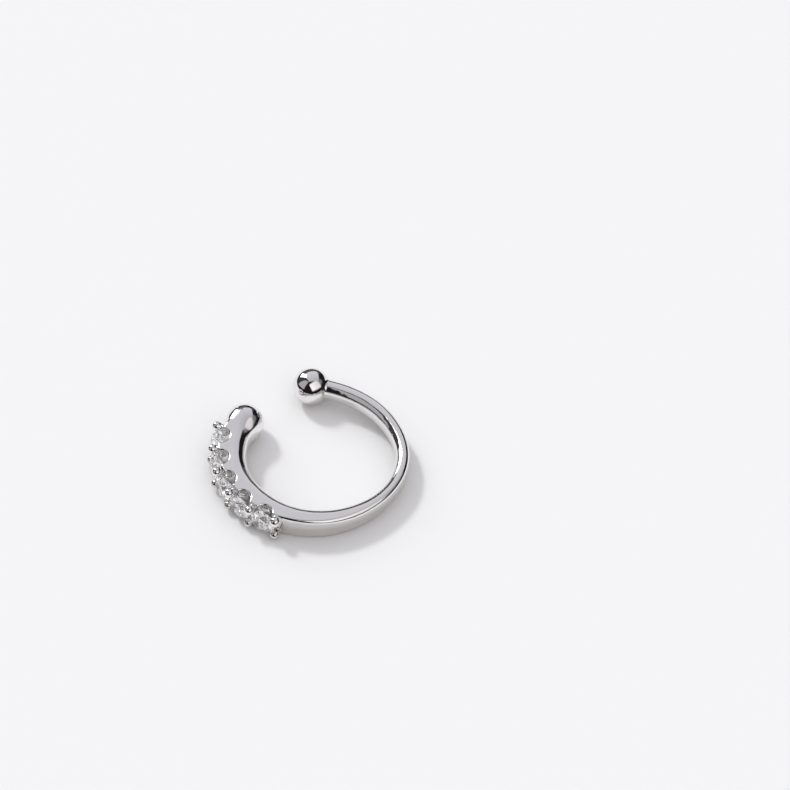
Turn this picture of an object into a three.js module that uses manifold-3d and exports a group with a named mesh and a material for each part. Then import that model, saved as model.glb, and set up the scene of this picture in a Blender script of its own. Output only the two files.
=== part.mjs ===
// A nose cuff: a cast C-shaped band with a ball at each end, and five round stones
// held by shared claws along its thick half. It lies on its side, as it would by
// itself. Millimetres, +Z up. The opening of the C faces +Y. The origin is under the
// middle of the whole cuff, on the surface that it lies on.

import * as THREE from 'three';
import { mergeVertices } from 'three/addons/utils/BufferGeometryUtils.js';
import { ConvexGeometry } from 'three/addons/geometries/ConvexGeometry.js';
import Module from 'manifold-3d';

// ---------------------------------------------------------------- driving sizes

// The centre of the hoop, seen from the origin. Angles below turn round it from +X.
const HOOP_CENTRE = { x: 0.549, y: -0.249 };

const BALL_RADIUS = 1.0;
const THICK_BALL = { at: 117.65, reach: 4.47 };
const THIN_BALL = { at: 422.35, reach: 4.62 };

// The band from the thick ball to the thin one. Each row is a section: its angle
// round the hoop, the radius of its inner and outer face, its height, and the
// rounding of its inner and outer edges.
const BAND = [
  { at: 117.65, inner: 3.93, outer: 4.99, height: 1.92, innerEdge: 0.60, outerEdge: 0.36 },
  { at: 124, inner: 3.82, outer: 5.14, height: 1.79, innerEdge: 0.64, outerEdge: 0.40 },
  { at: 131, inner: 3.76, outer: 5.22, height: 1.66, innerEdge: 0.66, outerEdge: 0.24 },
  { at: 145, inner: 3.75, outer: 5.24, height: 1.55, innerEdge: 0.66, outerEdge: 0.12 },
  { at: 161, inner: 3.75, outer: 5.14, height: 1.50, innerEdge: 0.65, outerEdge: 0.12 },
  { at: 177, inner: 3.70, outer: 5.00, height: 1.48, innerEdge: 0.62, outerEdge: 0.12 },
  { at: 193, inner: 3.66, outer: 4.87, height: 1.46, innerEdge: 0.58, outerEdge: 0.12 },
  { at: 207, inner: 3.66, outer: 4.79, height: 1.44, innerEdge: 0.54, outerEdge: 0.13 },
  { at: 217, inner: 3.66, outer: 4.73, height: 1.42, innerEdge: 0.52, outerEdge: 0.14 },
  { at: 238, inner: 3.67, outer: 4.65, height: 1.35, innerEdge: 0.50, outerEdge: 0.20 },
  { at: 259, inner: 3.71, outer: 4.60, height: 1.27, innerEdge: 0.50, outerEdge: 0.26 },
  { at: 276, inner: 3.82, outer: 4.59, height: 1.23, innerEdge: 0.48, outerEdge: 0.27 },
  { at: 293, inner: 3.94, outer: 4.63, height: 1.20, innerEdge: 0.44, outerEdge: 0.25 },
  { at: 306, inner: 3.99, outer: 4.67, height: 1.20, innerEdge: 0.42, outerEdge: 0.25 },
  { at: 325, inner: 3.95, outer: 4.67, height: 1.18, innerEdge: 0.42, outerEdge: 0.29 },
  { at: 348, inner: 3.80, outer: 4.57, height: 1.17, innerEdge: 0.42, outerEdge: 0.34 },
  { at: 371, inner: 3.71, outer: 4.55, height: 1.18, innerEdge: 0.43, outerEdge: 0.38 },
  { at: 392, inner: 3.74, outer: 4.63, height: 1.16, innerEdge: 0.44, outerEdge: 0.42 },
  { at: 407, inner: 3.87, outer: 4.79, height: 1.12, innerEdge: 0.45, outerEdge: 0.44 },
  { at: 422.35, inner: 4.13, outer: 5.05, height: 1.08, innerEdge: 0.46, outerEdge: 0.44 },
];

// The claws and stones stand on an arc of their own, whose centre lies off the hoop's.
// Its face is canted a little upward, so the lower row of claws reaches further out.
const SETTING = { centreX: -0.24, centreY: 0.465, firstClawAt: 131.6, step: 17, stones: 5, cant: 7 };

// The two claws after the last stone end in larger beads.
const CLAW = {
  reach: 5.10,
  rowOffset: 0.48,
  postRadius: 0.19,
  postLength: 0.75,
  beadRadius: 0.235,
  endBeadRadius: 0.25,
};

// A round brilliant. The girdle's upper edge stands at the reach, and the star
// corners lie halfway from the table to the girdle.
const STONE = {
  reach: 4.99,
  radius: 0.70,
  tableRadius: 0.40,
  crown: 0.22,
  starHeight: 0.136,
  girdle: 0.05,
  pavilion: 0.46,
  clearance: 0.03,
};

// An upright scallop, a slot with a round end, opens the setting's wall behind each
// stone. Its depth is measured from the stone's reach, and is greatest at the first
// stone, by the thick ball. The slot is long enough to pass the band's outer face.
const SCALLOP = { radius: 0.43, firstDepth: 0.77, lastDepth: 0.56, length: 1.5 };

const MESH = { cornerSteps: 4, sectionSpacing: 5, ballSides: 24, clawSides: 8, scallopSides: 20 };
const MERGE_DISTANCE = 1e-5;

// ---------------------------------------------------------------- small helpers

const degrees = (angle) => THREE.MathUtils.degToRad(angle);

function planPoint(angle, radius) {
  return new THREE.Vector3(radius * Math.cos(degrees(angle)), radius * Math.sin(degrees(angle)), 0);
}

// One column of the band's table, read at any angle from a smooth curve that passes
// through every row with the slope between that row's two neighbours.
function bandValue(column, angle) {
  const last = BAND.length - 1;
  let row = 0;
  while (row < last - 1 && BAND[row + 1].at < angle) row += 1;
  const slope = (i) => {
    const before = BAND[Math.max(i - 1, 0)];
    const after = BAND[Math.min(i + 1, last)];
    return (after[column] - before[column]) / (after.at - before.at);
  };
  const span = BAND[row + 1].at - BAND[row].at;
  const t = THREE.MathUtils.clamp((angle - BAND[row].at) / span, 0, 1);
  const start = BAND[row][column];
  const rise = BAND[row + 1][column] - start;
  const startRise = slope(row) * span;
  const endRise = slope(row + 1) * span;
  const square = 3 * rise - 2 * startRise - endRise;
  const cube = startRise + endRise - 2 * rise;
  return start + startRise * t + square * t ** 2 + cube * t ** 3;
}

// ---------------------------------------------------------------- band

// The four rounded corners of a section, in the order of the turn from outward to up.
const CORNERS = [
  { outward: 1, upward: 1 },
  { outward: -1, upward: 1 },
  { outward: -1, upward: -1 },
  { outward: 1, upward: -1 },
];

// A point on the rounding of one corner of the section, from its start (0) to its end (1).
function sectionPoint(angle, quarter, share) {
  const { outward, upward } = CORNERS[quarter];
  const face = bandValue(outward > 0 ? 'outer' : 'inner', angle);
  const edge = bandValue(outward > 0 ? 'outerEdge' : 'innerEdge', angle);
  const turn = degrees(90 * (quarter + share));
  const point = planPoint(angle, face - outward * edge + edge * Math.cos(turn));
  point.z = upward * (bandValue('height', angle) / 2 - edge) + edge * Math.sin(turn);
  return point;
}

// A closed cylinder with one row of vertices for each section, bent round the hoop so
// that its sides follow the rounded section.
function bandGeometry() {
  const cornerPoints = MESH.cornerSteps + 1;
  const sides = CORNERS.length * cornerPoints;
  const steps = Math.round((THIN_BALL.at - THICK_BALL.at) / MESH.sectionSpacing);
  const bar = new THREE.CylinderGeometry(1, 1, 1, sides, steps);
  const position = bar.getAttribute('position');
  for (let i = 0; i < position.count; i += 1) {
    const angle = THREE.MathUtils.lerp(THICK_BALL.at, THIN_BALL.at, position.getY(i) + 0.5);
    const onAxis = Math.hypot(position.getX(i), position.getZ(i)) < 0.5;
    const turn = Math.atan2(position.getZ(i), position.getX(i)) / (2 * Math.PI);
    const side = Math.round((turn + 1) * sides) % sides;
    const quarter = Math.floor(side / cornerPoints);
    const share = (side % cornerPoints) / MESH.cornerSteps;
    const middle = (bandValue('inner', angle) + bandValue('outer', angle)) / 2;
    const point = onAxis ? planPoint(angle, middle) : sectionPoint(angle, quarter, share);
    position.setXYZ(i, point.x, point.y, point.z);
  }
  return bar;
}

function ballGeometry(ball) {
  const sphere = new THREE.SphereGeometry(BALL_RADIUS, MESH.ballSides, MESH.ballSides / 2);
  sphere.rotateX(Math.PI / 2);
  const place = planPoint(ball.at, ball.reach);
  return sphere.translate(place.x, place.y, 0);
}

// ---------------------------------------------------------------- setting

const settingCentre = new THREE.Vector3(SETTING.centreX, SETTING.centreY, 0);

const clawAngle = (index) => SETTING.firstClawAt + SETTING.step * index;
const stoneAngle = (index) => SETTING.firstClawAt + SETTING.step * (index + 0.5);

// Moves a shape made along +Z to the setting's face: +Z turns outward and a little
// up, +Y turns up the face, and the shape goes out by reach and up the face by rise.
function placedOnFace(geometry, angle, reach, rise) {
  const plan = planPoint(angle, 1);
  const up = new THREE.Vector3(0, 0, 1);
  const cant = degrees(SETTING.cant);
  const outward = plan.clone().multiplyScalar(Math.cos(cant)).addScaledVector(up, Math.sin(cant));
  const upFace = up.clone().multiplyScalar(Math.cos(cant)).addScaledVector(plan, -Math.sin(cant));
  const sideways = new THREE.Vector3().crossVectors(upFace, outward);
  const placement = new THREE.Matrix4().makeBasis(sideways, upFace, outward);
  placement.setPosition(settingCentre.clone().addScaledVector(plan, reach).addScaledVector(upFace, rise));
  return geometry.applyMatrix4(placement);
}

// A round brilliant as the hull of its corners: eight at the table, eight at the
// stars, sixteen at each edge of the girdle, and the point below.
function stoneGeometry(index, growth) {
  const points = [];
  const addRing = (count, radius, height, offset) => {
    for (let i = 0; i < count; i += 1) {
      const turn = ((i + offset) * 2 * Math.PI) / count;
      points.push(new THREE.Vector3(radius * Math.cos(turn), radius * Math.sin(turn), height));
    }
  };
  const starRadius = (STONE.tableRadius + STONE.radius) / 2;
  addRing(8, STONE.tableRadius + growth, STONE.crown + growth, 0);
  addRing(8, starRadius + growth, STONE.starHeight + growth, 0.5);
  addRing(16, STONE.radius + growth, growth, 0);
  addRing(16, STONE.radius + growth, -STONE.girdle - growth, 0);
  points.push(new THREE.Vector3(0, 0, -STONE.girdle - STONE.pavilion - growth));
  return placedOnFace(new ConvexGeometry(points), stoneAngle(index), STONE.reach, 0);
}

// One claw: a post that rises out of the wall and ends in a round bead.
function clawGeometries(index, side) {
  const isLast = index === SETTING.stones;
  const beadRadius = isLast ? CLAW.endBeadRadius : CLAW.beadRadius;
  const rise = side * CLAW.rowOffset;
  const post = new THREE.CylinderGeometry(CLAW.postRadius, CLAW.postRadius, CLAW.postLength, MESH.clawSides);
  post.rotateX(Math.PI / 2);
  const bead = new THREE.SphereGeometry(beadRadius, MESH.clawSides, MESH.clawSides - 2);
  bead.rotateX(Math.PI / 2);
  return [
    placedOnFace(post, clawAngle(index), CLAW.reach - CLAW.postLength / 2, rise),
    placedOnFace(bead, clawAngle(index), CLAW.reach, rise),
  ];
}

// The upright slot that opens the wall behind one stone: its round end and its sides.
function scallopGeometries(index) {
  const height = 4 * BALL_RADIUS;
  const end = new THREE.CylinderGeometry(SCALLOP.radius, SCALLOP.radius, height, MESH.scallopSides);
  end.rotateX(Math.PI / 2);
  const sides = new THREE.BoxGeometry(SCALLOP.length, 2 * SCALLOP.radius, height);
  sides.translate(SCALLOP.length / 2, 0, 0);
  const depth = THREE.MathUtils.lerp(SCALLOP.firstDepth, SCALLOP.lastDepth, index / (SETTING.stones - 1));
  const reach = STONE.reach - depth + SCALLOP.radius;
  const place = planPoint(stoneAngle(index), reach).add(settingCentre);
  for (const cutter of [end, sides]) {
    cutter.rotateZ(degrees(stoneAngle(index))).translate(place.x, place.y, 0);
  }
  return [end, sides];
}

// ---------------------------------------------------------------- joining and cutting

const wasm = await Module();
wasm.setup();

function toSolid(geometry) {
  const bare = geometry.clone();
  bare.deleteAttribute('normal');
  bare.deleteAttribute('uv');
  const merged = mergeVertices(bare, MERGE_DISTANCE);
  return new wasm.Manifold(new wasm.Mesh({
    numProp: 3,
    vertProperties: new Float32Array(merged.getAttribute('position').array),
    triVerts: new Uint32Array(merged.index.array),
  }));
}

function toGeometry(solid) {
  const mesh = solid.getMesh();
  const geometry = new THREE.BufferGeometry();
  geometry.setAttribute('position', new THREE.BufferAttribute(new Float32Array(mesh.vertProperties), 3));
  geometry.setIndex(new THREE.BufferAttribute(new Uint32Array(mesh.triVerts), 1));
  geometry.computeVertexNormals();
  return geometry;
}

// The whole casting: the band, scalloped behind each stone, with its balls and claws,
// and a seat that follows each stone with a little clearance.
function bodyGeometry() {
  let solid = toSolid(bandGeometry());
  for (let index = 0; index < SETTING.stones; index += 1) {
    for (const geometry of scallopGeometries(index)) {
      solid = solid.subtract(toSolid(geometry));
    }
  }
  for (const ball of [THICK_BALL, THIN_BALL]) {
    solid = solid.add(toSolid(ballGeometry(ball)));
  }
  for (let index = 0; index <= SETTING.stones; index += 1) {
    for (const side of [-1, 1]) {
      for (const geometry of clawGeometries(index, side)) {
        solid = solid.add(toSolid(geometry));
      }
    }
  }
  for (let index = 0; index < SETTING.stones; index += 1) {
    solid = solid.subtract(toSolid(stoneGeometry(index, STONE.clearance)));
  }
  return toGeometry(solid);
}

// ---------------------------------------------------------------- how it lies

const thickBall = planPoint(THICK_BALL.at, THICK_BALL.reach);
const thinBall = planPoint(THIN_BALL.at, THIN_BALL.reach);
const ballLine = thinBall.clone().sub(thickBall).normalize();
const awayFromBalls = new THREE.Vector3(ballLine.y, -ballLine.x, 0);

// The cuff stands on its two balls and leans, by this angle, until the first point of
// the band's lower side meets the surface.
function restAngle(geometry) {
  const position = geometry.getAttribute('position');
  const point = new THREE.Vector3();
  let least = Math.PI;
  for (let i = 0; i < position.count; i += 1) {
    point.fromBufferAttribute(position, i).sub(thickBall);
    const away = point.dot(awayFromBalls);
    const isBandUnderside = away > 2 * BALL_RADIUS && point.z < 0;
    if (isBandUnderside) {
      const lean = Math.atan2(point.z, away) + Math.asin(BALL_RADIUS / Math.hypot(point.z, away));
      least = Math.min(least, lean);
    }
  }
  return least;
}

// ---------------------------------------------------------------- the cuff

const cuff = new THREE.Group();

const silver = new THREE.MeshStandardMaterial({ color: 0xd9d9de, roughness: 0.12, metalness: 1.0 });
const body = new THREE.Mesh(bodyGeometry(), silver);
body.name = 'cuff_body';
cuff.add(body);

for (let index = 0; index < SETTING.stones; index += 1) {
  const crystal = new THREE.MeshStandardMaterial({ color: 0xf1f3f6, roughness: 0.02, metalness: 0.0 });
  const stone = new THREE.Mesh(stoneGeometry(index, 0), crystal);
  stone.name = `stone_${index + 1}`;
  cuff.add(stone);
}

// The lean turns about the line through the centres of the two balls.
cuff.position.copy(thickBall).negate();
const lean = new THREE.Group();
lean.add(cuff);
lean.quaternion.setFromAxisAngle(ballLine, restAngle(body.geometry));
lean.position.set(HOOP_CENTRE.x + thickBall.x, HOOP_CENTRE.y + thickBall.y, BALL_RADIUS);

const noseCuff = new THREE.Group();
noseCuff.add(lean);

export default noseCuff;
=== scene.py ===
"""A polished silver nose cuff with five clear stones, lying on a pale floor in soft light.

The cuff is one casting: a tapering band, a ball at each end, and a row of claws that
share the stones between them. Its surface is worked out from named sizes in
millimetres, in the cuff's own plane, and is then laid on the floor in metres.
"""

import logging
import math
from dataclasses import dataclass, field
from enum import Enum
from typing import Callable, Sequence

import bpy
import numpy as np
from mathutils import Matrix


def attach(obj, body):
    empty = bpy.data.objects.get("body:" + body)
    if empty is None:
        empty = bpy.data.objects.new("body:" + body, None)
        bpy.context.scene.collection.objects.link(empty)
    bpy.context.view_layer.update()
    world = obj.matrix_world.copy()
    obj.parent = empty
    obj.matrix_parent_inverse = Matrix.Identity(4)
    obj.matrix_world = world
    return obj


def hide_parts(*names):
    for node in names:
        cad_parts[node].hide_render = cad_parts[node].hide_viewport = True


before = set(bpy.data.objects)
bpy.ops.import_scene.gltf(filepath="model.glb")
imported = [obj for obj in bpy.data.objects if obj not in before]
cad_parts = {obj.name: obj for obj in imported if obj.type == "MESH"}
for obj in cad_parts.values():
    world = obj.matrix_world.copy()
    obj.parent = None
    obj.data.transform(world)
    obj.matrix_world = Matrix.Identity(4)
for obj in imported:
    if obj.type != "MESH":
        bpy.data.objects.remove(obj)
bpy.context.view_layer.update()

LOG = logging.getLogger("nose_cuff")
MM = 0.001

Array = np.ndarray


# ---------------------------------------------------------------- geometry helpers


def plan(angle: float | Array, reach: float | Array) -> Array:
    """Points at an angle round the hoop, in degrees, and a distance from its centre.

    Args:
        angle: angle from +X, in degrees.
        reach: distance from the centre, in millimetres.

    Returns:
        An array whose last axis is x, y and z, with z at zero.
    """
    turn = np.radians(angle)
    x = reach * np.cos(turn)
    return np.stack([x, reach * np.sin(turn), np.zeros_like(x)], axis=-1)


def unit(vector: Sequence[float]) -> Array:
    """The vector scaled to a length of one."""
    direction = np.asarray(vector, float)
    return direction / np.linalg.norm(direction)


def turned(points: Array, axis: Array, angle: float) -> Array:
    """Points turned about an axis through the origin, by Rodrigues' formula.

    Args:
        points: array of points, one in each row.
        axis: direction of the axis, of length one.
        angle: angle in radians, by the right-hand rule.

    Returns:
        The turned points.
    """
    along = (points @ axis)[:, None] * axis
    across = np.cross(axis, points)
    return points * math.cos(angle) + across * math.sin(angle) + along * (1 - math.cos(angle))


def joined(first: Array, second: Array, blend: float | Array) -> Array:
    """Two solids joined with a soft fillet: the lesser distance, less a parabola where they are near.

    Args:
        first: distances to one solid.
        second: distances to the other.
        blend: how far from the joint the fillet reaches.

    Returns:
        Distances to the joined solid.
    """
    near = np.maximum(blend - np.abs(first - second), 0)
    return np.minimum(first, second) - near**2 / (4 * blend)


def cut(solid: Array, cutter: Array, blend: float) -> Array:
    """A solid with a cutter taken out of it, and its new edge softened.

    Args:
        solid: distances to the solid.
        cutter: distances to the cutter.
        blend: how far from the edge the softening reaches.

    Returns:
        Distances to what is left.
    """
    return -joined(-solid, cutter, blend)


@dataclass(frozen=True)
class Curve:
    """A smooth curve through the rows of a table: a natural cubic spline.

    Between two rows each column is a cubic. The cubics' bends at the rows solve the
    linear system that makes both slope and bend run on from each row to the next.

    Attributes:
        at: the rows' positions.
        rows: the rows' values, one column for each quantity.
    """

    at: Array
    rows: Array

    def bends(self) -> Array:
        """The second derivative of every column at every row, zero at both ends.

        Returns:
            One row for each of the table's.
        """
        count = len(self.at)
        step = np.diff(self.at)
        system = np.eye(count)
        right = np.zeros_like(self.rows)
        inner = np.arange(1, count - 1)
        system[inner, inner - 1] = step[:-1]
        system[inner, inner] = 2 * (step[:-1] + step[1:])
        system[inner, inner + 1] = step[1:]
        slope = np.diff(self.rows, axis=0) / step[:, None]
        right[inner] = 6 * np.diff(slope, axis=0)
        return np.linalg.solve(system, right)

    def read(self, position: Array) -> Array:
        """The columns at any positions.

        Args:
            position: where to read the curve. It is held between the first and last row.

        Returns:
            One row of columns for each position.
        """
        bend = self.bends()
        place = np.clip(position, self.at[0], self.at[-1])
        row = np.clip(np.searchsorted(self.at, place, side="right") - 1, 0, len(self.at) - 2)
        span = (self.at[row + 1] - self.at[row])[:, None]
        after = (place[:, None] - self.at[row][:, None]) / span
        before = 1 - after
        line = before * self.rows[row] + after * self.rows[row + 1]
        sag = (before**3 - before) * bend[row] + (after**3 - after) * bend[row + 1]
        return line + sag * span**2 / 6


# ---------------------------------------------------------------- surface of a distance field


@dataclass(frozen=True)
class LevelSurface:
    """The zero level of a distance field, drawn with four-sided faces.

    The field is read on a cubic grid. Each cell that the surface passes through gets one
    vertex, at the mean of the places where the surface crosses the cell's edges. Each
    grid edge that it crosses gets one face, which joins the four cells round that edge.
    The vertices are then evened out and moved down the field's slope onto the surface.

    Attributes:
        spacing: the grid's step.
        evening: how many times the vertices are evened out.
        probe: half the step over which the field's slope is measured.
        least_slope: least squared slope that a vertex is moved by, so that a level spot
            of the field doesn't throw it far off.
    """

    spacing: float
    evening: int = 3
    probe: float = 0.004
    least_slope: float = 1e-6

    def slope(self, distance: Callable[[Array], Array], points: Array) -> Array:
        """The field's gradient, by central differences along each axis.

        Args:
            distance: the field.
            points: where to measure it, one point in each row.

        Returns:
            One gradient for each point.
        """
        steps = np.eye(3) * self.probe
        sides = [distance(points + step) - distance(points - step) for step in steps]
        return np.stack(sides, axis=1) / (2 * self.probe)

    def settle(self, distance: Callable[[Array], Array], points: Array) -> Array:
        """Moves points onto the surface: against the gradient by distance over its squared length.

        Args:
            distance: the field.
            points: the points, one in each row.

        Returns:
            The moved points.
        """
        gradient = self.slope(distance, points)
        share = distance(points) / np.maximum((gradient**2).sum(axis=1), self.least_slope)
        return points - gradient * share[:, None]

    def unpinched(self, field_values: Array) -> Array:
        """The field, with no grid square whose corners lie inside and outside by turns.

        Four faces would share one edge at such a square, so the corner that is nearest
        to the surface is moved to its other side.

        Args:
            field_values: the field on the grid.

        Returns:
            The field on the grid, with the sign of those few corners changed.
        """
        result = field_values.copy()
        for plane in ((0, 1), (1, 2), (2, 0)):
            laid = np.moveaxis(result, plane, (0, 1))
            ring = (laid[:-1, :-1], laid[1:, :-1], laid[1:, 1:], laid[:-1, 1:])
            within = [corner < 0 for corner in ring]
            pinched = (within[0] == within[2]) & (within[1] == within[3]) & (within[0] != within[1])
            nearest = np.abs([corner[pinched] for corner in ring]).argmin(axis=0)
            place = np.argwhere(pinched)
            place[:, :2] += np.array(((0, 0), (1, 0), (1, 1), (0, 1)))[nearest]
            laid[tuple(place.T)] *= -1
        return result

    def cells(self, field_values: Array) -> tuple[Array, Array, Array]:
        """The cells that the surface passes through.

        Args:
            field_values: the field on the grid.

        Returns:
            Each such cell's place in the grid, its vertex inside the cell in grid steps,
            and the grid of vertex numbers, which is -1 where there is no vertex.
        """
        corners = np.array([(x, y, z) for x in (0, 1) for y in (0, 1) for z in (0, 1)])
        size = np.array(field_values.shape) - 1
        windows = [
            field_values[x:x + size[0], y:y + size[1], z:z + size[2]] for x, y, z in corners
        ]
        count = sum((window < 0).astype(np.int8) for window in windows)
        crossed = (count > 0) & (count < len(corners))
        place = np.argwhere(crossed)
        values = np.stack([window[crossed] for window in windows])
        total = np.zeros((len(place), 3))
        hits = np.zeros(len(place))
        for a in range(len(corners)):
            for b in range(a + 1, len(corners)):
                if np.abs(corners[a] - corners[b]).sum() != 1:
                    continue
                hit = (values[a] < 0) != (values[b] < 0)
                share = np.where(hit, values[a] / np.where(hit, values[a] - values[b], 1), 0)
                total += hit[:, None] * (corners[a] + share[:, None] * (corners[b] - corners[a]))
                hits += hit
        numbers = np.full(size, -1)
        numbers[crossed] = np.arange(len(place))
        return place, total / hits[:, None], numbers

    def faces(self, field_values: Array, numbers: Array) -> Array:
        """One face for each grid edge that the surface crosses, turned to face outwards.

        Args:
            field_values: the field on the grid.
            numbers: the grid of vertex numbers.

        Returns:
            Four vertex numbers for each face.
        """
        quads = []
        for axis in range(3):
            across, over = (axis + 1) % 3, (axis + 2) % 3
            start = np.take(field_values, range(field_values.shape[axis] - 1), axis=axis) < 0
            end = np.take(field_values, range(1, field_values.shape[axis]), axis=axis) < 0
            edges = np.argwhere(start != end)
            ring = []
            for back_across, back_over in ((1, 1), (0, 1), (0, 0), (1, 0)):
                cell = edges.copy()
                cell[:, across] -= back_across
                cell[:, over] -= back_over
                ring.append(numbers[tuple(cell.T)])
            quad = np.stack(ring, axis=1)
            inward = ~start[tuple(edges.T)]
            quad[inward] = quad[inward, ::-1]
            quads.append(quad)
        return np.concatenate(quads)

    def evened(self, vertices: Array, quads: Array) -> Array:
        """Moves each vertex half way to the mean of the vertices that it shares an edge with.

        Args:
            vertices: one vertex in each row.
            quads: the four vertex numbers of each face.

        Returns:
            The moved vertices.
        """
        start = quads.ravel()
        end = np.roll(quads, -1, axis=1).ravel()
        number = len(vertices)
        shares = np.bincount(start, minlength=number) + np.bincount(end, minlength=number)
        columns = [
            np.bincount(start, vertices[end, i], number) + np.bincount(end, vertices[start, i], number)
            for i in range(3)
        ]
        return (vertices + np.stack(columns, axis=1) / shares[:, None]) / 2

    def draw(
        self, distance: Callable[[Array], Array], low: Array, high: Array
    ) -> tuple[Array, Array, Array]:
        """The surface as a mesh.

        Args:
            distance: the field, which takes points in rows and gives their distances.
            low: lowest corner of the space to look in.
            high: highest corner of that space.

        Returns:
            Vertices, four-sided faces, and the surface's normal at each vertex.
        """
        axes = [np.arange(a, b + self.spacing, self.spacing) for a, b in zip(low, high)]
        grid = np.stack(np.meshgrid(*axes, indexing="ij"), axis=-1)
        field_values = self.unpinched(distance(grid.reshape(-1, 3)).reshape(grid.shape[:3]))
        place, inside, numbers = self.cells(field_values)
        quads = self.faces(field_values, numbers)
        vertices = np.array([axis[0] for axis in axes]) + self.spacing * (place + inside)
        vertices = self.settle(distance, vertices)
        for _ in range(self.evening):
            vertices = self.settle(distance, self.evened(vertices, quads))
        vertices = self.settle(distance, vertices)
        gradient = self.slope(distance, vertices)
        return vertices, quads, gradient / np.linalg.norm(gradient, axis=1, keepdims=True)


# ---------------------------------------------------------------- sizes of the cuff


@dataclass(frozen=True)
class EndBall:
    """A round ball at one end of the band.

    Attributes:
        at: its angle round the hoop, in degrees.
        reach: its centre's distance from the hoop's centre, in millimetres.
        radius: its radius, in millimetres.
    """

    at: float
    reach: float
    radius: float = 1.0

    def centre(self) -> Array:
        """The ball's centre, in the cuff's plane."""
        return plan(self.at, self.reach)


@dataclass(frozen=True)
class Band:
    """The C-shaped band, whose section is a rectangle with rounded edges.

    Attributes:
        sections: a row for each section: its angle round the hoop, the radius of its
            inner and outer face, its height, and the rounding of its inner and outer
            edges, in degrees and millimetres.
        opening: an angle in the gap between the balls, in degrees, from which the
            sections' angles are counted.
    """

    sections: tuple[tuple[float, ...], ...] = (
        # angle, inner, outer, height, inner edge, outer edge
        (117.65, 3.93, 4.99, 1.92, 0.60, 0.36),
        (124, 3.82, 5.14, 1.79, 0.64, 0.40),
        (131, 3.76, 5.22, 1.66, 0.66, 0.24),
        (145, 3.75, 5.24, 1.55, 0.66, 0.12),
        (161, 3.75, 5.14, 1.50, 0.65, 0.12),
        (177, 3.70, 5.00, 1.48, 0.62, 0.12),
        (193, 3.66, 4.87, 1.46, 0.58, 0.12),
        (207, 3.66, 4.79, 1.44, 0.54, 0.13),
        (217, 3.66, 4.73, 1.42, 0.52, 0.14),
        (238, 3.67, 4.65, 1.35, 0.50, 0.20),
        (259, 3.71, 4.60, 1.27, 0.50, 0.26),
        (276, 3.82, 4.59, 1.23, 0.48, 0.27),
        (293, 3.94, 4.63, 1.20, 0.44, 0.25),
        (306, 3.99, 4.67, 1.20, 0.42, 0.25),
        (325, 3.95, 4.67, 1.18, 0.42, 0.29),
        (348, 3.80, 4.57, 1.17, 0.42, 0.34),
        (371, 3.71, 4.55, 1.18, 0.43, 0.38),
        (392, 3.74, 4.63, 1.16, 0.44, 0.42),
        (407, 3.87, 4.79, 1.12, 0.45, 0.44),
        (422.35, 4.13, 5.05, 1.08, 0.46, 0.44),
    )
    opening: float = 90.0

    def curve(self) -> Curve:
        """The smooth curve through the sections."""
        table = np.array(self.sections)
        return Curve(table[:, 0], table[:, 1:])

    def distance(self, points: Array) -> Array:
        """Distances to the band.

        In the section's plane it is the distance to a rectangle with rounded corners:
        how far the point lies past the corner's centre, less the corner's radius. Past
        the band's ends it is at least the distance to the end's plane.

        Args:
            points: one point in each row, in the cuff's plane.

        Returns:
            One distance for each point, less than zero inside.
        """
        curve = self.curve()
        reach = np.hypot(points[:, 0], points[:, 1])
        turn = np.degrees(np.arctan2(points[:, 1], points[:, 0]))
        angle = (turn - self.opening) % 360 + self.opening
        beyond = np.maximum(curve.at[0] - angle, angle - curve.at[-1])
        inner, outer, height, inner_edge, outer_edge = curve.read(angle).T
        inward = reach < (inner + inner_edge + outer - outer_edge) / 2
        edge = np.where(inward, inner_edge, outer_edge)
        across = np.where(inward, inner - reach, reach - outer) + edge
        up = np.abs(points[:, 2]) - height / 2 + edge
        corner = np.hypot(np.maximum(across, 0), np.maximum(up, 0))
        section = corner + np.minimum(np.maximum(across, up), 0) - edge
        return np.maximum(section, reach * np.sin(np.radians(np.minimum(beyond, 90))))


@dataclass(frozen=True)
class Setting:
    """Where the claws and the stones stand.

    They stand on an arc of their own, whose centre lies off the hoop's. Its face is
    canted a little upward.

    Attributes:
        centre: the arc's centre, from the hoop's centre, in millimetres.
        first_claw_at: angle of the first pair of claws, by the thick ball, in degrees.
        step: angle from each stone to the next, in degrees.
        stones: how many stones there are.
        cant: how far the face is turned upward, in degrees.
    """

    centre: tuple[float, float, float] = (-0.24, 0.465, 0.0)
    first_claw_at: float = 131.6
    step: float = 17.0
    stones: int = 5
    cant: float = 7.0

    def claw_angle(self, index: int) -> float:
        """The angle of one pair of claws."""
        return self.first_claw_at + self.step * index

    def stone_angle(self, index: int) -> float:
        """The angle of one stone."""
        return self.first_claw_at + self.step * (index + 0.5)

    def axes(self, angle: float) -> Array:
        """The face's own directions at an angle: sideways, up the face, and outward.

        Outward is the plan direction tipped up by the cant, up the face is square to
        it, and sideways is their cross product.

        Args:
            angle: the angle on the setting's arc, in degrees.

        Returns:
            The three directions, one in each row.
        """
        out = plan(angle, 1.0)
        up = np.array([0.0, 0.0, 1.0])
        cant = math.radians(self.cant)
        outward = out * math.cos(cant) + up * math.sin(cant)
        up_face = up * math.cos(cant) - out * math.sin(cant)
        return np.stack([np.cross(up_face, outward), up_face, outward])

    def place(self, angle: float, reach: float, rise: float) -> Array:
        """A point on the setting: out from the arc's centre by reach, then up the face by rise."""
        return np.array(self.centre) + plan(angle, reach) + self.axes(angle)[1] * rise


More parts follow.
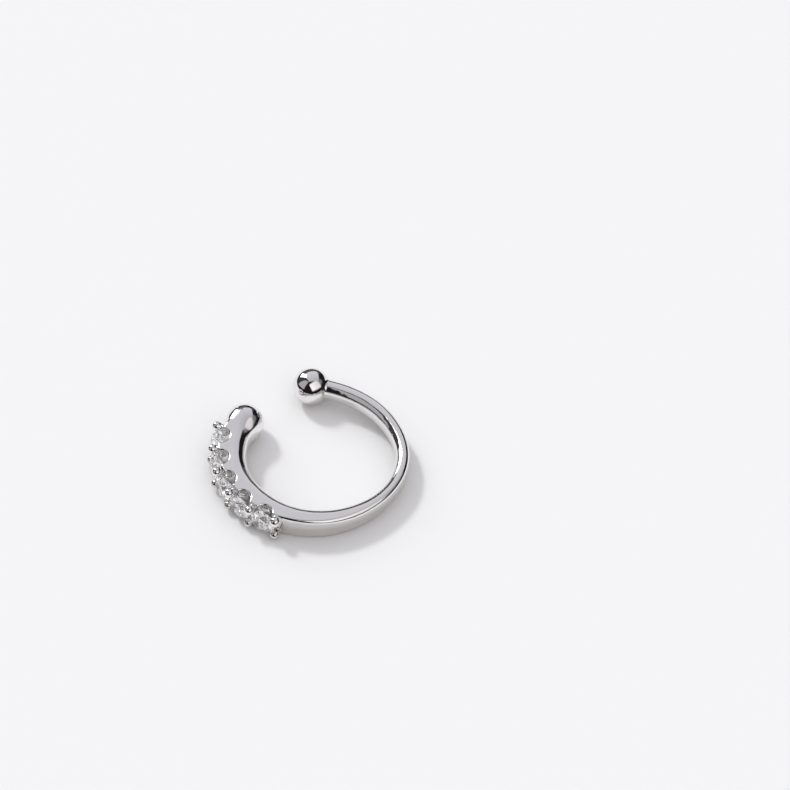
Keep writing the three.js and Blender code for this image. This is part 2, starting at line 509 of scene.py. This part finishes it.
@dataclass(frozen=True)
class Claw:
    """A claw: a thin post that grows out of the wall and ends in a round bead.

    Attributes:
        reach: the bead's distance from the setting's centre.
        rise: how far above or below the setting's middle the claw stands.
        post_radius: radius of the post.
        post_length: length of the post.
        bead_radius: radius of the bead.
        end_bead_radius: radius of the bead past the last stone.
        lower_share: size of the lower row's beads, as a share of the upper row's.
    """

    reach: float = 5.10
    rise: float = 0.48
    post_radius: float = 0.20
    post_length: float = 0.75
    bead_radius: float = 0.262
    end_bead_radius: float = 0.29
    lower_share: float = 0.87

    def post_distance(self, points: Array, foot: Array, outward: Array) -> Array:
        """Distances to the post, as a rod with a round end: to the nearest point of its centre line."""
        along = np.clip((points - foot) @ outward, 0, self.post_length)
        return np.linalg.norm(points - foot - along[:, None] * outward, axis=1) - self.post_radius


@dataclass(frozen=True)
class Scallop:
    """The upright U-shaped notch that opens the wall behind each stone.

    Attributes:
        radius: radius of its round end, and half the gap between its straight sides.
        first_depth: its depth behind the first stone's girdle, by the thick ball.
        last_depth: its depth behind the last stone's girdle.
    """

    radius: float = 0.43
    first_depth: float = 0.77
    last_depth: float = 0.56

    def distance(self, points: Array, centre: Array, outward: Array) -> Array:
        """Distances to the notch, in plan: to the round end's axis, or past it to the middle plane.

        Args:
            points: one point in each row.
            centre: a point on the round end's axis.
            outward: the direction that the notch opens in.

        Returns:
            One distance for each point, less than zero inside.
        """
        along = np.minimum((points - centre) @ outward, 0)
        sideways = (points - centre) @ np.array([-outward[1], outward[0], 0.0])
        return np.hypot(along, sideways) - self.radius


@dataclass(frozen=True)
class Brilliant:
    """The cut of a stone: a round brilliant.

    Attributes:
        reach: the girdle's distance from the setting's centre.
        radius: radius of the girdle.
        table: distance from the stone's axis to a corner of the table.
        crown: height of the table above the girdle.
        star_radius: distance from the axis to where star, kite and girdle facets meet.
        star_height: height of that place above the girdle.
        girdle: height of the girdle.
        pavilion: depth of the point below the girdle.
        lower_radius: distance from the axis to the inner ends of the lower girdle facets.
    """

    reach: float = 4.99
    radius: float = 0.70
    table: float = 0.40
    crown: float = 0.22
    star_radius: float = 0.55
    star_height: float = 0.136
    girdle: float = 0.035
    pavilion: float = 0.46
    lower_radius: float = 0.14

    def seat_distance(self, points: Array, clearance: float) -> Array:
        """Distances to the stone's round envelope: the greatest of its cones' and planes' distances.

        Args:
            points: points in the stone's own directions, with z outward from the girdle.
            clearance: how far the envelope stands off the stone.

        Returns:
            One distance for each point.
        """
        rho = np.hypot(points[:, 0], points[:, 1]) - self.radius
        top = points[:, 2]
        bottom = -self.girdle - top
        run = self.radius - self.table
        crown = (rho * self.crown + top * run) / math.hypot(self.crown, run)
        pavilion = (rho * self.pavilion + bottom * self.radius) / math.hypot(self.pavilion, self.radius)
        return np.maximum.reduce([rho, crown, pavilion, top - self.crown]) - clearance


# ---------------------------------------------------------------- node helpers


class Graph:
    """A short way to add nodes to a node tree and join them."""

    def __init__(self, tree: bpy.types.NodeTree) -> None:
        """Takes the tree that the nodes go in."""
        self.tree = tree

    def add(self, kind: str, inputs: dict | None = None, **settings: object) -> bpy.types.Node:
        """Adds a node.

        Args:
            kind: the node's type, without its leading "ShaderNode".
            inputs: a value or another node's output for each named or numbered input.
            settings: the node's own settings.

        Returns:
            The new node.
        """
        node = self.tree.nodes.new(kind if kind.startswith("Node") else f"ShaderNode{kind}")
        for name, value in settings.items():
            setattr(node, name, value)
        for key, value in (inputs or {}).items():
            if isinstance(value, bpy.types.NodeSocket):
                self.tree.links.new(value, node.inputs[key])
            else:
                node.inputs[key].default_value = value
        return node

    def math(self, operation: str, *values: object) -> bpy.types.NodeSocket:
        """Adds a Math node and gives its output."""
        return self.add("Math", dict(enumerate(values)), operation=operation).outputs[0]

    def dot(self, first: object, second: object) -> bpy.types.NodeSocket:
        """Adds a dot product of two vectors and gives its output."""
        return self.add("VectorMath", {0: first, 1: second}, operation="DOT_PRODUCT").outputs["Value"]


class SocketKind(Enum):
    """The kinds of socket that the node groups use."""

    NUMBER = "NodeSocketFloat"
    VECTOR = "NodeSocketVector"
    COLOUR = "NodeSocketColor"


def new_group(
    name: str, inputs: dict[str, SocketKind], outputs: dict[str, SocketKind]
) -> tuple[bpy.types.NodeTree, Graph, bpy.types.Node, bpy.types.Node]:
    """An empty shader node group with named sockets.

    Args:
        name: the group's name.
        inputs: each input's name and kind.
        outputs: each output's name and kind.

    Returns:
        The group, its graph, its input node and its output node.
    """
    tree = bpy.data.node_groups.new(name, "ShaderNodeTree")
    for socket_name, kind in inputs.items():
        tree.interface.new_socket(socket_name, in_out="INPUT", socket_type=kind.value)
    for socket_name, kind in outputs.items():
        tree.interface.new_socket(socket_name, in_out="OUTPUT", socket_type=kind.value)
    graph = Graph(tree)
    return tree, graph, graph.add("NodeGroupInput"), graph.add("NodeGroupOutput")


def hand_polish_group() -> bpy.types.NodeTree:
    """Hand polish: broad soft waves left by the wheel, and hair-fine lines.

    Inputs are the coordinates, and the scale and height of the waves and of the lines.
    The lines are noise that is turned askew and drawn out one way. The group puts out a
    height for a bump and a mask that is near 1 where the lines are dense.

    Returns:
        The node group.
    """
    line_heading = (0.3, 0.2, 0.6)
    line_squeeze = (1.0, 9.0, 9.0)
    tree, graph, start, end = new_group(
        "hand_polish",
        {
            "Coordinates": SocketKind.VECTOR,
            "Wave Scale": SocketKind.NUMBER,
            "Wave Height": SocketKind.NUMBER,
            "Line Scale": SocketKind.NUMBER,
            "Line Height": SocketKind.NUMBER,
        },
        {"Height": SocketKind.NUMBER, "Wear": SocketKind.NUMBER},
    )
    waves = graph.add(
        "TexNoise",
        {"Vector": start.outputs["Coordinates"], "Scale": start.outputs["Wave Scale"], "Detail": 1.0},
    )
    stretched = graph.add(
        "Mapping",
        {"Vector": start.outputs["Coordinates"], "Rotation": line_heading, "Scale": line_squeeze},
    )
    lines = graph.add(
        "TexNoise",
        {"Vector": stretched.outputs[0], "Scale": start.outputs["Line Scale"], "Detail": 3.0},
    )
    wave = graph.math("MULTIPLY", waves.outputs[0], start.outputs["Wave Height"])
    line = graph.math("MULTIPLY", lines.outputs[0], start.outputs["Line Height"])
    graph.tree.links.new(graph.math("ADD", wave, line), end.inputs["Height"])
    graph.tree.links.new(lines.outputs[0], end.inputs["Wear"])
    return tree


def softbox_group() -> bpy.types.NodeTree:
    """A rectangular light panel far away, laid over what is behind it.

    A direction meets the panel's plane at its parts along the panel's two sides, each
    over its part along the panel's facing direction. The panel covers it where both
    are less than the panel's half sizes, with a soft edge. Fall changes the light
    evenly from one side to the other.

    Returns:
        The node group.
    """
    least_depth = 0.001
    tree, graph, start, end = new_group(
        "softbox",
        {
            "Direction": SocketKind.VECTOR,
            "Facing": SocketKind.VECTOR,
            "Across": SocketKind.VECTOR,
            "Upward": SocketKind.VECTOR,
            "Half Width": SocketKind.NUMBER,
            "Half Height": SocketKind.NUMBER,
            "Shift Across": SocketKind.NUMBER,
            "Shift Upward": SocketKind.NUMBER,
            "Edge": SocketKind.NUMBER,
            "Light": SocketKind.COLOUR,
            "Fall Across": SocketKind.NUMBER,
            "Fall Upward": SocketKind.NUMBER,
            "Behind": SocketKind.COLOUR,
        },
        {"Light": SocketKind.COLOUR},
    )
    socket = start.outputs
    depth = graph.dot(socket["Direction"], socket["Facing"])
    ahead = graph.math("GREATER_THAN", depth, 0.0)
    safe = graph.math("MAXIMUM", depth, least_depth)
    parts = {}
    for side, half in (("Across", "Half Width"), ("Upward", "Half Height")):
        part = graph.math("DIVIDE", graph.dot(socket["Direction"], socket[side]), safe)
        part = graph.math("SUBTRACT", part, socket[f"Shift {side}"])
        past = graph.math("SUBTRACT", graph.math("ABSOLUTE", part), socket[half])
        cover = graph.add(
            "MapRange",
            {
                "Value": past,
                "From Min": socket["Edge"],
                "From Max": graph.math("MULTIPLY", socket["Edge"], -1.0),
            },
            interpolation_type="SMOOTHSTEP",
        )
        share = graph.math("DIVIDE", part, socket[half])
        parts[side] = (cover.outputs[0], graph.math("MULTIPLY", share, socket[f"Fall {side}"]))
    cover = graph.math("MULTIPLY", graph.math("MULTIPLY", parts["Across"][0], parts["Upward"][0]), ahead)
    change = graph.math("ADD", parts["Across"][1], parts["Upward"][1])
    fall = graph.math("MAXIMUM", graph.math("ADD", 1.0, change), 0.0)
    light = graph.add("VectorMath", {0: socket["Light"], "Scale": fall}, operation="SCALE")
    mixed = graph.add(
        "Mix",
        {"Factor": cover, "A": socket["Behind"], "B": light.outputs[0]},
        data_type="RGBA",
        clamp_factor=True,
    )
    graph.tree.links.new(mixed.outputs["Result"], end.inputs["Light"])
    return tree


# ---------------------------------------------------------------- finishes


def new_material(name: str) -> tuple[bpy.types.Material, Graph, bpy.types.Node]:
    """A material that holds one Principled shader.

    Args:
        name: the material's name.

    Returns:
        The material, its graph, and its Principled shader.
    """
    material = bpy.data.materials.new(name)
    material.use_nodes = True
    graph = Graph(material.node_tree)
    return material, graph, material.node_tree.nodes["Principled BSDF"]


@dataclass(frozen=True)
class PolishedSilver:
    """Silver polished to a mirror, with painted shade that darkens it towards the floor.

    Attributes:
        colour: what the metal reflects, as linear red, green and blue.
        shaded_colour_below: painted shade, the darker and warmer colour the metal takes towards the
            floor, standing in for the shadowed floor that its underside reflects.
        painted_shade_between: the heights between which the painted shade fades into the plain colour, in
            metres.
        roughness: least and greatest roughness.
        wave_scale: how many polishing waves there are in a metre.
        wave_height: their height in metres.
        line_scale: how many hairlines there are in a metre.
        line_height: their height in metres.
    """

    colour: tuple[float, float, float, float] = (0.85, 0.842, 0.84, 1.0)
    shaded_colour_below: tuple[float, float, float, float] = (0.68, 0.655, 0.635, 1.0)
    painted_shade_between: tuple[float, float] = (0.0006, 0.00105)
    roughness: tuple[float, float] = (0.03, 0.09)
    wave_scale: float = 1500.0
    wave_height: float = 0.00002
    line_scale: float = 2500.0
    line_height: float = 0.0000002

    def material(self, polish: bpy.types.NodeTree) -> bpy.types.Material:
        """Makes the material.

        Args:
            polish: the hand polish group.

        Returns:
            The material.
        """
        material, graph, shader = new_material("polished_silver")
        shader.inputs["Metallic"].default_value = 1.0
        where = graph.add("TexCoord").outputs["Object"]
        height = graph.add("SeparateXYZ", {0: where}).outputs["Z"]
        # Painted shade: the base colour darkens and warms towards the bottom, standing in for the
        # shadowed floor mirrored in the underside.
        low, high = self.painted_shade_between
        out_of_shade = graph.add(
            "MapRange",
            {"Value": height, "From Min": low, "From Max": high},
            interpolation_type="SMOOTHSTEP",
        )
        tone = graph.add(
            "Mix",
            {"Factor": out_of_shade.outputs[0], "A": self.shaded_colour_below, "B": self.colour},
            data_type="RGBA",
        )
        graph.tree.links.new(tone.outputs["Result"], shader.inputs["Base Color"])
        worn = graph.add("Group", node_tree=polish)
        graph.tree.links.new(where, worn.inputs["Coordinates"])
        worn.inputs["Wave Scale"].default_value = self.wave_scale
        worn.inputs["Wave Height"].default_value = self.wave_height
        worn.inputs["Line Scale"].default_value = self.line_scale
        worn.inputs["Line Height"].default_value = self.line_height
        rough = graph.add(
            "MapRange",
            {"Value": worn.outputs["Wear"], "To Min": self.roughness[0], "To Max": self.roughness[1]},
        )
        bump = graph.add("Bump", {"Height": worn.outputs["Height"], "Distance": 1.0, "Strength": 1.0})
        graph.tree.links.new(rough.outputs[0], shader.inputs["Roughness"])
        graph.tree.links.new(bump.outputs[0], shader.inputs["Normal"])
        return material


@dataclass(frozen=True)
class ClearStone:
    """A clear cubic crystal, cut and polished.

    Attributes:
        colour: its tint, as linear red, green and blue.
        index: how strongly it bends light.
    """

    colour: tuple[float, float, float, float] = (0.985, 0.985, 0.99, 1.0)
    index: float = 2.15

    def material(self) -> bpy.types.Material:
        """Makes the material.

        Returns:
            The material.
        """
        material, _, shader = new_material("clear_stone")
        shader.inputs["Base Color"].default_value = self.colour
        shader.inputs["Roughness"].default_value = 0.0
        shader.inputs["IOR"].default_value = self.index
        shader.inputs["Transmission Weight"].default_value = 1.0
        return material


@dataclass(frozen=True)
class PaleFloor:
    """A matt pale floor.

    Attributes:
        colour: its colour, as linear red, green and blue.
        roughness: how matt it is.
        sheen_level: how strongly it mirrors at a low angle.
    """

    colour: tuple[float, float, float, float] = (0.86, 0.86, 0.865, 1.0)
    roughness: float = 0.9
    sheen_level: float = 0.1

    def material(self) -> bpy.types.Material:
        """Makes the material.

        Returns:
            The material.
        """
        material, _, shader = new_material("pale_floor")
        shader.inputs["Base Color"].default_value = self.colour
        shader.inputs["Roughness"].default_value = self.roughness
        shader.inputs["Specular IOR Level"].default_value = self.sheen_level
        return material


# ---------------------------------------------------------------- the cuff


def mesh_object(
    name: str, vertices: Array, faces: Array | list[list[int]], material: bpy.types.Material
) -> bpy.types.Object:
    """A mesh object at the origin, from points in metres.

    Args:
        name: the object's name.
        vertices: one point in each row.
        faces: the vertex numbers of each face, as an array where all have as many.
        material: the material of every face.

    Returns:
        The object, linked to the scene.
    """
    mesh = bpy.data.meshes.new(name)
    mesh.from_pydata(vertices.tolist(), [], faces.tolist() if isinstance(faces, Array) else faces)
    mesh.materials.append(material)
    mesh.validate()
    piece = bpy.data.objects.new(name, mesh)
    bpy.context.scene.collection.objects.link(piece)
    return piece


@dataclass
class Casting:
    """The one-piece silver body: band, end balls, scalloped wall and claws.

    Attributes:
        thick_ball: the ball at the thick end.
        thin_ball: the ball at the slim end.
        band: the band.
        setting: where the claws and stones stand.
        claw: the claws' sizes.
        scallop: the sizes of the hollows behind the stones.
        brilliant: the stones' sizes.
        thick_fillet: how far the thick ball flows into the band at its waist.
        waist: height over which that flow fades out, at the ball's top and at its foot.
        thin_fillet: how far the solder reaches where the thin ball meets the band, and
            where the thick ball's top meets it.
        scallop_edge: how far the softening of a scallop's edge reaches.
        post_fillet: how far the fillet at a post's foot reaches.
        bead_fillet: how far the fillet under a bead reaches.
        seat_edge: how far the softening of a stone's seat reaches.
        seat_clearance: gap between a stone and its seat.
        spacing: step of the grid that the surface is read on.
    """

    thick_ball: EndBall = field(default_factory=lambda: EndBall(117.65, 4.47))
    thin_ball: EndBall = field(default_factory=lambda: EndBall(422.35, 4.62))
    band: Band = field(default_factory=Band)
    setting: Setting = field(default_factory=Setting)
    claw: Claw = field(default_factory=Claw)
    scallop: Scallop = field(default_factory=Scallop)
    brilliant: Brilliant = field(default_factory=Brilliant)
    thick_fillet: float = 0.50
    waist: float = 0.50
    thin_fillet: float = 0.10
    scallop_edge: float = 0.13
    post_fillet: float = 0.08
    bead_fillet: float = 0.05
    seat_edge: float = 0.015
    seat_clearance: float = 0.006
    spacing: float = 0.042

    def scalloped_band(self, points: Array) -> Array:
        """Distances to the band with a scallop cut behind each stone.

        Args:
            points: one point in each row, in the cuff's plane.

        Returns:
            One distance for each point, less than zero inside.
        """
        solid = self.band.distance(points)
        depths = np.linspace(self.scallop.first_depth, self.scallop.last_depth, self.setting.stones)
        for index, depth in enumerate(depths):
            reach = self.brilliant.reach - depth + self.scallop.radius
            angle = self.setting.stone_angle(index)
            centre = self.setting.place(angle, reach, 0.0)
            notch = self.scallop.distance(points, centre, plan(angle, 1.0))
            solid = cut(solid, notch, self.scallop_edge)
        return solid

    def distance(self, points: Array) -> Array:
        """Distances to the whole casting.

        The thick ball's fillet fades from full at its waist to the thin one's at its
        top and foot, by three times the share squared less twice the share cubed.

        Args:
            points: one point in each row, in the cuff's plane, in millimetres.

        Returns:
            One distance for each point, less than zero inside.
        """
        solid = self.scalloped_band(points)
        share = np.clip((self.thick_ball.radius - np.abs(points[:, 2])) / self.waist, 0, 1)
        flow = self.thin_fillet + (self.thick_fillet - self.thin_fillet) * share**2 * (3 - 2 * share)
        for ball, fillet in ((self.thick_ball, flow), (self.thin_ball, self.thin_fillet)):
            sphere = np.linalg.norm(points - ball.centre(), axis=1) - ball.radius
            solid = joined(solid, sphere, fillet)
        for index in range(self.setting.stones + 1):
            angle = self.setting.claw_angle(index)
            outward = self.setting.axes(angle)[2]
            last = index == self.setting.stones
            bead_radius = self.claw.end_bead_radius if last else self.claw.bead_radius
            for side in (-1, 1):
                tip = self.setting.place(angle, self.claw.reach, side * self.claw.rise)
                foot = tip - outward * self.claw.post_length
                solid = joined(solid, self.claw.post_distance(points, foot, outward), self.post_fillet)
                size = self.claw.lower_share if side < 0 else 1.0
                bead = np.linalg.norm(points - tip, axis=1) - bead_radius * size
                solid = joined(solid, bead, self.bead_fillet)
        for index in range(self.setting.stones):
            angle = self.setting.stone_angle(index)
            place = self.setting.place(angle, self.brilliant.reach, 0.0)
            local = (points - place) @ self.setting.axes(angle).T
            seat = self.brilliant.seat_distance(local, self.seat_clearance)
            solid = cut(solid, seat, self.seat_edge)
        return solid

    def surface(self) -> tuple[Array, Array, Array]:
        """The casting's surface, in the cuff's plane.

        Returns:
            Vertices, four-sided faces, and the surface's normal at each vertex.
        """
        limit = max(row[2] for row in self.band.sections) + 2 * self.claw.bead_radius
        top = self.thick_ball.radius + 3 * self.spacing
        low = np.array([-limit, -limit, -top])
        high = np.array([limit, limit, top])
        return LevelSurface(self.spacing).draw(self.distance, low, high)


@dataclass
class Lie:
    """How the cuff lies: on its two balls and on the lower side of the band.

    Attributes:
        thick_ball: the ball at the thick end.
        thin_ball: the ball at the slim end.
        hoop_centre: the hoop's centre, from the origin, in millimetres.
        lean: the angle that the cuff leans by, in radians.
    """

    thick_ball: EndBall
    thin_ball: EndBall
    hoop_centre: tuple[float, float] = (0.549, -0.249)
    lean: float = 0.0

    def ball_line(self) -> Array:
        """The direction from the thick ball's centre to the thin one's."""
        return unit(self.thin_ball.centre() - self.thick_ball.centre())

    def touch_down(self, vertices: Array) -> None:
        """Leans the cuff about its balls until the first point of its lower side meets the floor.

        A point at height z, and at a distance away from the balls' line, meets the
        floor when the lean is atan2(z, away) + asin(radius / length of both).

        Args:
            vertices: the casting's vertices, in the cuff's plane.
        """
        line = self.ball_line()
        away = (vertices - self.thick_ball.centre()) @ np.array([line[1], -line[0], 0.0])
        height = vertices[:, 2]
        below = (away > 2 * self.thick_ball.radius) & (height < 0)
        length = np.hypot(height[below], away[below])
        lean = np.arctan2(height[below], away[below]) + np.arcsin(self.thick_ball.radius / length)
        self.lean = float(lean.min())

    def turn(self, directions: Array) -> Array:
        """Directions in the cuff's plane, as they are when it lies on the floor."""
        return turned(directions, self.ball_line(), self.lean)

    def lay(self, points: Array) -> Array:
        """Lays the cuff on the floor.

        Args:
            points: points in the cuff's plane, in millimetres.

        Returns:
            The points on the floor, in metres.
        """
        pivot = self.thick_ball.centre()
        ground = np.array([*self.hoop_centre, self.thick_ball.radius])
        return (self.turn(points - pivot) + pivot * [1, 1, 0] + ground) * MM


@dataclass
class NoseCuff:
    """The cuff: the casting and its stones.

    Attributes:
        casting: the silver body.
    """

    casting: Casting = field(default_factory=Casting)

    def build_body(self, silver: bpy.types.Material) -> Lie:
        """Builds the silver body.

        Args:
            silver: its material.

        Returns:
            How the cuff lies.
        """
        vertices, quads, normals = self.casting.surface()
        lie = Lie(self.casting.thick_ball, self.casting.thin_ball)
        lie.touch_down(vertices)
        body = mesh_object("silver_cuff", lie.lay(vertices), quads, silver)
        body.data.shade_smooth()
        body.data.normals_split_custom_set_from_vertices(lie.turn(normals).tolist())
        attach(body, "root")
        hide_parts("cuff_body")
        LOG.info("silver_cuff: %d faces, lean %.2f degrees", len(quads), math.degrees(lie.lean))
        return lie

    def build_stone(self, index: int, lie: Lie, stone: bpy.types.Material) -> None:
        """Builds one stone.

        Args:
            index: the stone's number, from 0 by the thick ball.
            lie: how the cuff lies.
            stone: its material.
        """
        setting = self.casting.setting
        angle = setting.stone_angle(index)
        corners, faces = self.brilliant_facets()
        place = setting.place(angle, self.casting.brilliant.reach, 0.0)
        local = place + corners @ setting.axes(angle)
        piece = mesh_object(f"clear_stone_{index + 1}", lie.lay(local), faces, stone)
        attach(piece, "root")
        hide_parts(f"stone_{index + 1}")
        LOG.info("clear_stone_%d: %d facets", index + 1, len(faces))

    def brilliant_facets(self) -> tuple[Array, list[list[int]]]:
        """The corners and facets of a round brilliant.

        The table has eight corners. Eight star corners lie half a step round from them,
        and sixteen points of the girdle's upper edge carry the kites and the upper
        girdle facets. Below, eight mains run to the point and sixteen lower girdle
        facets rise from their inner ends.

        Returns:
            The corners, with z outward, and the corner numbers of each facet.
        """
        cut_sizes = self.casting.brilliant
        mains = 8
        half_step = 360 / mains / 2
        even = np.arange(mains) * 2 * half_step
        odd = even + half_step
        upper = plan(np.arange(2 * mains) * half_step, cut_sizes.radius)
        table = plan(even, cut_sizes.table) + [0, 0, cut_sizes.crown]
        star = plan(odd, cut_sizes.star_radius) + [0, 0, cut_sizes.star_height]
        lower = upper + [0, 0, -cut_sizes.girdle]
        depth = cut_sizes.pavilion * (1 - cut_sizes.lower_radius / cut_sizes.radius)
        main = plan(odd, cut_sizes.lower_radius) + [0, 0, -cut_sizes.girdle - depth]
        point = np.array([[0, 0, -cut_sizes.girdle - cut_sizes.pavilion]])
        corners = np.concatenate([table, star, upper, lower, main, point])
        # Where the numbers of the star, upper, lower and main corners and of the point start.
        s, u, l, m, p = mains, 2 * mains, 4 * mains, 6 * mains, 7 * mains
        faces: list[list[int]] = [list(range(mains))]
        for i in range(mains):
            after = (i + 1) % mains
            g, h, n = 2 * i, 2 * i + 1, (2 * i + 2) % (2 * mains)
            faces.append([i, s + i, after])
            faces.append([s + i, u + g, u + h])
            faces.append([s + i, u + h, u + n])
            faces.append([after, s + i, u + n, s + after])
            faces.append([u + g, l + g, l + h, u + h])
            faces.append([u + h, l + h, l + n, u + n])
            faces.append([l + g, m + i, l + h])
            faces.append([l + h, m + i, l + n])
            faces.append([m + i, l + g, m + (i - 1) % mains, p])
        return corners, faces


# ---------------------------------------------------------------- studio


@dataclass(frozen=True)
class Softbox:
    """A light panel a long way off.

    Attributes:
        azimuth: where its centre stands, clockwise from straight behind the cuff as
            the camera sees it, in degrees.
        elevation: its height above the horizon, in degrees.
        half_width: half its width over its distance.
        half_height: half its height over its distance.
        roll: how far it is turned in its own plane, in degrees.
        light: its linear red, green and blue radiance.
        edge: softness of its edge over its distance.
        fall: change of its light from its middle to its right and to its upper side.
        shift: how far its middle lies to the right of where it faces, and above it,
            over its distance.
    """

    azimuth: float
    elevation: float
    half_width: float
    half_height: float
    roll: float
    light: tuple[float, float, float]
    edge: float = 0.04
    fall: tuple[float, float] = (0.0, 0.0)
    shift: tuple[float, float] = (0.0, 0.0)

    def axes(self, heading: float) -> tuple[Array, Array, Array]:
        """The panel's facing, rightward and upward directions.

        Args:
            heading: the angle from +X, in degrees, that the camera looks along in plan.

        Returns:
            Three directions in the row's frame.
        """
        plan_angle = heading - self.azimuth
        facing = plan(plan_angle, math.cos(math.radians(self.elevation)))
        facing[2] = math.sin(math.radians(self.elevation))
        across = plan(plan_angle - 90, 1.0)
        upward = np.cross(across, facing)
        roll = math.radians(self.roll)
        return (
            facing,
            across * math.cos(roll) + upward * math.sin(roll),
            upward * math.cos(roll) - across * math.sin(roll),
        )


@dataclass
class Studio:
    """The floor, the light and the camera.

    Attributes:
        heading: the angle from +X, in degrees, that the camera looks along in plan.
        elevation: the camera's height above the horizon, in degrees.
        aim: the point of the floor at the picture's centre, in millimetres.
        distance: from the camera to that point, in millimetres.
        lens: focal length, in millimetres.
        sensor: width of the sensor, in millimetres.
        clip: nearest and farthest that the camera sees, in metres.
        bounces: how often light may bounce in all.
        clear_bounces: how often it may be mirrored, or go through a stone's face.
        floor_radius: radius of the floor, in metres.
        dark: light between the panels.
        backdrop: what the camera sees past the floor.
        fill: even light that reaches matt things, and the insides of the stones.
        fill_depth: the bounces after which light counts as inside a stone.
        panels: the light panels, the nearest last.
    """

    heading: float = 55.65
    elevation: float = 50.0
    aim: tuple[float, float] = (6.505, 1.519)
    distance: float = 102.15
    lens: float = 86.58
    sensor: float = 36.0
    clip: tuple[float, float] = (0.001, 100.0)
    bounces: int = 20
    clear_bounces: int = 16
    floor_radius: float = 3.0
    dark: tuple[float, float, float] = (0.012, 0.012, 0.013)
    backdrop: tuple[float, float, float] = (0.9, 0.9, 0.905)
    fill: tuple[float, float, float] = (0.38, 0.381, 0.385)
    fill_depth: float = 3.5
    panels: tuple[Softbox, ...] = (
        Softbox(0, 19, 0.62, 0.07, 0, (0.21, 0.205, 0.22), edge=0.08),
        Softbox(286, 35, 0.40, 0.42, 0, (0.055, 0.053, 0.055), edge=0.08),
        Softbox(92, 45, 0.34, 0.34, 0, (0.22, 0.215, 0.22), edge=0.14),
        Softbox(213, 0, 0.78, 1.38, 0, (0.44, 0.425, 0.45), edge=0.05, shift=(0.99, 1.73)),
        Softbox(138, 45, 0.60, 0.46, 0, (0.98, 0.94, 0.93), edge=0.12, fall=(0.25, 0.0)),
        Softbox(12, 62, 0.66, 0.72, -34, (0.625, 0.618, 0.654), edge=0.05, fall=(-0.03, -0.22)),
        Softbox(262, 4, 0.61, 0.80, 4, (3.2, 3.2, 3.2), edge=0.06, shift=(1.53, 1.1)),
        Softbox(319, 44, 0.065, 0.065, 0, (68.0, 68.0, 68.0), edge=0.02),
    )

    def build_floor(self, material: bpy.types.Material) -> None:
        """Builds the floor: a flat square sheet, wide enough to reach the horizon.

        Args:
            material: the floor's material.
        """
        half = self.floor_radius
        corners = np.array([(-half, -half, 0), (half, -half, 0), (half, half, 0), (-half, half, 0)])
        mesh_object("floor", corners, np.array([[0, 1, 2, 3]]), material)

    def build_light(self, softbox: bpy.types.NodeTree) -> None:
        """Builds the light: panels far away, laid over the dark between them.

        Args:
            softbox: the panel's node group.
        """
        world = bpy.data.worlds.new("studio_light")
        bpy.context.scene.world = world
        world.use_nodes = True
        world.node_tree.nodes.clear()
        graph = Graph(world.node_tree)
        direction = graph.add("TexCoord").outputs["Generated"]
        light: object = (*self.dark, 1.0)
        for panel in self.panels:
            facing, across, upward = panel.axes(self.heading)
            node = graph.add("Group", node_tree=softbox)
            values = {
                "Facing": facing,
                "Across": across,
                "Upward": upward,
                "Half Width": panel.half_width,
                "Half Height": panel.half_height,
                "Shift Across": panel.shift[0],
                "Shift Upward": panel.shift[1],
                "Edge": panel.edge,
                "Light": (*panel.light, 1.0),
                "Fall Across": panel.fall[0],
                "Fall Upward": panel.fall[1],
            }
            for name, value in values.items():
                node.inputs[name].default_value = value
            graph.tree.links.new(direction, node.inputs["Direction"])
            if isinstance(light, bpy.types.NodeSocket):
                graph.tree.links.new(light, node.inputs["Behind"])
            else:
                node.inputs["Behind"].default_value = light
            light = node.outputs[0]
        path = graph.add("LightPath")
        deep = graph.math("GREATER_THAN", path.outputs["Ray Depth"], self.fill_depth)
        lit = graph.math("MAXIMUM", path.outputs["Is Diffuse Ray"], deep)
        fill = graph.add("VectorMath", {0: self.fill, "Scale": lit}, operation="SCALE")
        filled = graph.add("VectorMath", {0: light, 1: fill.outputs[0]}, operation="ADD")
        mixed = graph.add(
            "Mix",
            {"Factor": path.outputs["Is Camera Ray"], "A": filled.outputs[0], "B": (*self.backdrop, 1.0)},
            data_type="RGBA",
        )
        background = graph.add("Background", {"Color": mixed.outputs["Result"]})
        graph.add("OutputWorld", {"Surface": background.outputs[0]})

    def set_tone(self) -> None:
        """Sets plain tones, and lets light bounce often enough to come out of the stones."""
        scene = bpy.context.scene
        scene.view_settings.view_transform = "Standard"
        scene.cycles.max_bounces = self.bounces
        scene.cycles.glossy_bounces = self.clear_bounces
        scene.cycles.transmission_bounces = self.clear_bounces

    def build_camera(self) -> None:
        """Builds the camera, which looks at the aim point from its heading and elevation."""
        camera = bpy.data.cameras.new("camera")
        camera.sensor_width = self.sensor
        camera.lens = self.lens
        camera.clip_start, camera.clip_end = self.clip
        piece = bpy.data.objects.new("camera", camera)
        bpy.context.scene.collection.objects.link(piece)
        bpy.context.scene.camera = piece
        forward = plan(self.heading, math.cos(math.radians(self.elevation)))
        forward[2] = -math.sin(math.radians(self.elevation))
        aim = np.array([*self.aim, 0.0])
        piece.location = (aim - forward * self.distance) * MM
        piece.rotation_euler = (math.radians(90 - self.elevation), 0.0, math.radians(self.heading - 90))


def write_sizes() -> None:
    """Updates the view layer; no sizes are written."""
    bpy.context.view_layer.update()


def main() -> None:
    """Builds the studio and the cuff."""
    logging.basicConfig(level=logging.INFO, format="%(name)s: %(message)s")
    studio = Studio()
    studio.set_tone()
    studio.build_camera()
    studio.build_light(softbox_group())
    studio.build_floor(PaleFloor().material())
    cuff = NoseCuff()
    lie = cuff.build_body(PolishedSilver().material(hand_polish_group()))
    stone = ClearStone().material()
    for index in range(cuff.casting.setting.stones):
        cuff.build_stone(index, lie, stone)
    write_sizes()


if __name__ == "__main__":
    main()
